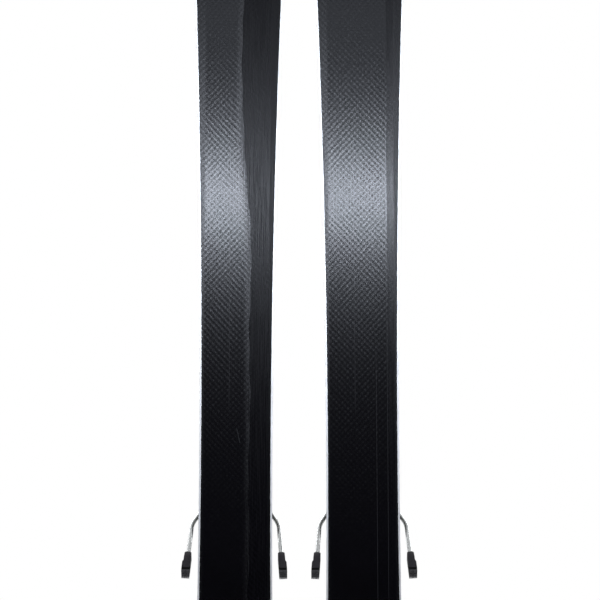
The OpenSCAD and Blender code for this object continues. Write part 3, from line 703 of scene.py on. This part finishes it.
def binding(side):
    """Rounded shells over the binding's visible pieces, and the looks of the others."""
    def node(part):
        return side + "_" + part

    for part, slot, material, bevel in (
        ("toe_plate", "plastic_black", plastic_black, 0.5),
        ("toe_housing", "plastic_black", plastic_black, 0.6),
        ("toe_wing_inner", "metal_grey", shell_silver, 0.45),
        ("toe_wing_outer", "metal_grey", shell_silver, 0.45),
        ("toe_slide_plate", "slide_white", slide_white, 0.25),
        ("heel_track", "plastic_black", plastic_black, 0.3),
        ("heel_carriage", "plastic_grey", plastic_grey, 0.4),
        ("heel_housing", "plastic_black", plastic_black, 0.5),
        ("heel_cup", "metal_grey", shell_silver, 0.45),
        ("heel_lever", "lever_red", lever_red, 0.5),
        ("brake_bracket", "plastic_black", plastic_black, 0.4),
        ("brake_pedal", "plastic_grey", plastic_grey, 0.4),
        ("brake_tips", "brake_plastic", foot_finish[side], 0.3),
        ("toe_screws", "screw_steel", screw_steel, 0.2),
        ("heel_screws", "screw_steel", screw_steel, 0.2),
        ("toe_release_screw", "screw_steel", screw_steel, 0.3),
        ("heel_release_screw", "screw_steel", screw_steel, 0.3),
    ):
        refined(node(part), slot, material, bevel)
    for part, material in (
        ("toe_wing_pins", screw_steel), ("toe_draw_bar", screw_steel),
        ("heel_worm_screw", screw_steel), ("heel_axle", screw_steel),
        ("toe_spring", spring_steel), ("heel_spring", spring_steel),
    ):
        dress(node(part), material)


for side in SIDES:
    ski_layers(side)
    brake_wire(side)
    binding(side)


# Stage ----------------------------------------------------------------------------------

# The camera looks level. SEEN_HALF is half of the width in view at SEEN_FROM.
CAMERA_X, CAMERA_Z = 0.0008, -0.473
CAMERA_BACK = 3.304
SENSOR = 36
SEEN_HALF, SEEN_FROM = 0.315, 3.3
FLOOR_Z = cad_box[0][2] - 0.0005
FLOOR_R = 1.1
FADE_R = 0.45

# Strip lights in front of the bases: name, height of their reflection, own height, power
STRIP_BACK, STRIP_W = 1.2, 0.6
STRIP_COLOR = (0.82, 0.88, 1)
STRIP_LIGHTS = (("gloss_strip", -0.364, 0.04, 4.5), ("gloss_high", -0.18, 0.1, 0.3))

# Soft lights: name, place, height they aim at, power
SOFT_SIZE = (1.2, 1.2)
SOFT_LIGHTS = (
    ("key_left", (-2.2, -1.4, 0.6), -0.6, 32), ("key_right", (2.2, -1.4, 0.6), -0.6, 32),
    ("back_left", (-1.6, 2.2, 0.8), -0.5, 22), ("back_right", (1.6, 2.2, 0.4), -0.5, 15),
)


def aim(obj, target):
    direction = Vector(target) - obj.location
    obj.rotation_euler = direction.to_track_quat("-Z", "Y").to_euler()


def add_camera():
    data = bpy.data.cameras.new("camera")
    data.sensor_width = SENSOR
    data.lens = SENSOR / 2 / (SEEN_HALF / SEEN_FROM)
    data.clip_end = 50
    camera = bpy.data.objects.new("camera", data)
    camera.location = (CAMERA_X, -CAMERA_BACK, CAMERA_Z)
    camera.rotation_euler = (math.pi / 2, 0, 0)
    bpy.context.scene.collection.objects.link(camera)
    bpy.context.scene.camera = camera


def add_light(name, location, target, size, power, color=(1, 1, 1)):
    data = bpy.data.lights.new(name, "AREA")
    data.shape = "RECTANGLE"
    data.size, data.size_y = size
    data.energy = power
    data.color = color
    light = bpy.data.objects.new(name, data)
    light.location = location
    aim(light, target)
    light.visible_camera = False
    bpy.context.scene.collection.objects.link(light)


def floor_fade(n):
    """1 under the skis, falling to 0 at the floor's rim."""
    flat = n.add("ShaderNodeVectorMath", operation="MULTIPLY")
    n.put(flat.inputs[0], n.coords)
    flat.inputs[1].default_value = (1, 1, 0)
    reach = n.add("ShaderNodeVectorMath", operation="LENGTH")
    n.put(reach.inputs[0], flat.outputs[0])
    return n.spread(reach.outputs["Value"], FADE_R, FLOOR_R, 1, 0)


def add_floor():
    bm = bmesh.new()
    bmesh.ops.create_circle(bm, cap_ends=True, segments=96, radius=FLOOR_R)
    bm.transform(Matrix.Translation((0, 0, FLOOR_Z)))
    mesh = bpy.data.meshes.new("floor")
    bm.to_mesh(mesh)
    bm.free()
    n = Nodes("floor_pale")
    mesh.materials.append(n.set(
        Base_Color=n.mix(n.noise(3, 3), (0.8, 0.8, 0.81), (0.83, 0.83, 0.84)),
        Roughness=n.spread(n.noise(5), 0.3, 0.7, 0.6, 0.7),
        Alpha=floor_fade(n)))
    floor = bpy.data.objects.new("floor", mesh)
    bpy.context.scene.collection.objects.link(floor)


def add_world():
    """White behind the object. Reflections find it dark towards the camera's side."""
    world = bpy.data.worlds.new("studio")
    bpy.context.scene.world = world
    world.use_nodes = True
    tree = world.node_tree
    back = tree.nodes["Background"]
    direction = tree.nodes.new("ShaderNodeTexCoord").outputs["Generated"]
    split = tree.nodes.new("ShaderNodeSeparateXYZ")
    tree.links.new(direction, split.inputs[0])
    front = tree.nodes.new("ShaderNodeMapRange")
    front.interpolation_type = "SMOOTHSTEP"
    tree.links.new(split.outputs["Y"], front.inputs["Value"])
    dark, bright = (-0.97, 0.006), (-0.55, 0.5)  # the direction's Y, and the strength there
    for key, value in zip(("From Min", "To Min", "From Max", "To Max"), dark + bright):
        front.inputs[key].default_value = value
    tree.links.new(front.outputs[0], back.inputs["Strength"])
    white = tree.nodes.new("ShaderNodeBackground")
    path = tree.nodes.new("ShaderNodeLightPath")
    mix = tree.nodes.new("ShaderNodeMixShader")
    tree.links.new(path.outputs["Is Camera Ray"], mix.inputs[0])
    tree.links.new(back.outputs[0], mix.inputs[1])
    tree.links.new(white.outputs[0], mix.inputs[2])
    tree.links.new(mix.outputs[0], tree.nodes["World Output"].inputs["Surface"])
    back.inputs["Color"].default_value = (1, 1, 1, 1)
    white.inputs["Color"].default_value = (1, 1, 1, 1)
    white.inputs["Strength"].default_value = 1.0


add_camera()
add_world()
add_floor()
for name, seen_z, height, power in STRIP_LIGHTS:
    strip_z = seen_z + STRIP_BACK * (seen_z - CAMERA_Z) / CAMERA_BACK
    size = STRIP_W, height
    add_light(name, (0, -STRIP_BACK, strip_z), (0, 0, seen_z), size, power, STRIP_COLOR)
for name, place, aim_z, power in SOFT_LIGHTS:
    add_light(name, place, (0, 0, aim_z), SOFT_SIZE, power)

scene = bpy.context.scene
scene.view_settings.view_transform = "Standard"
scene.view_settings.look = "None"
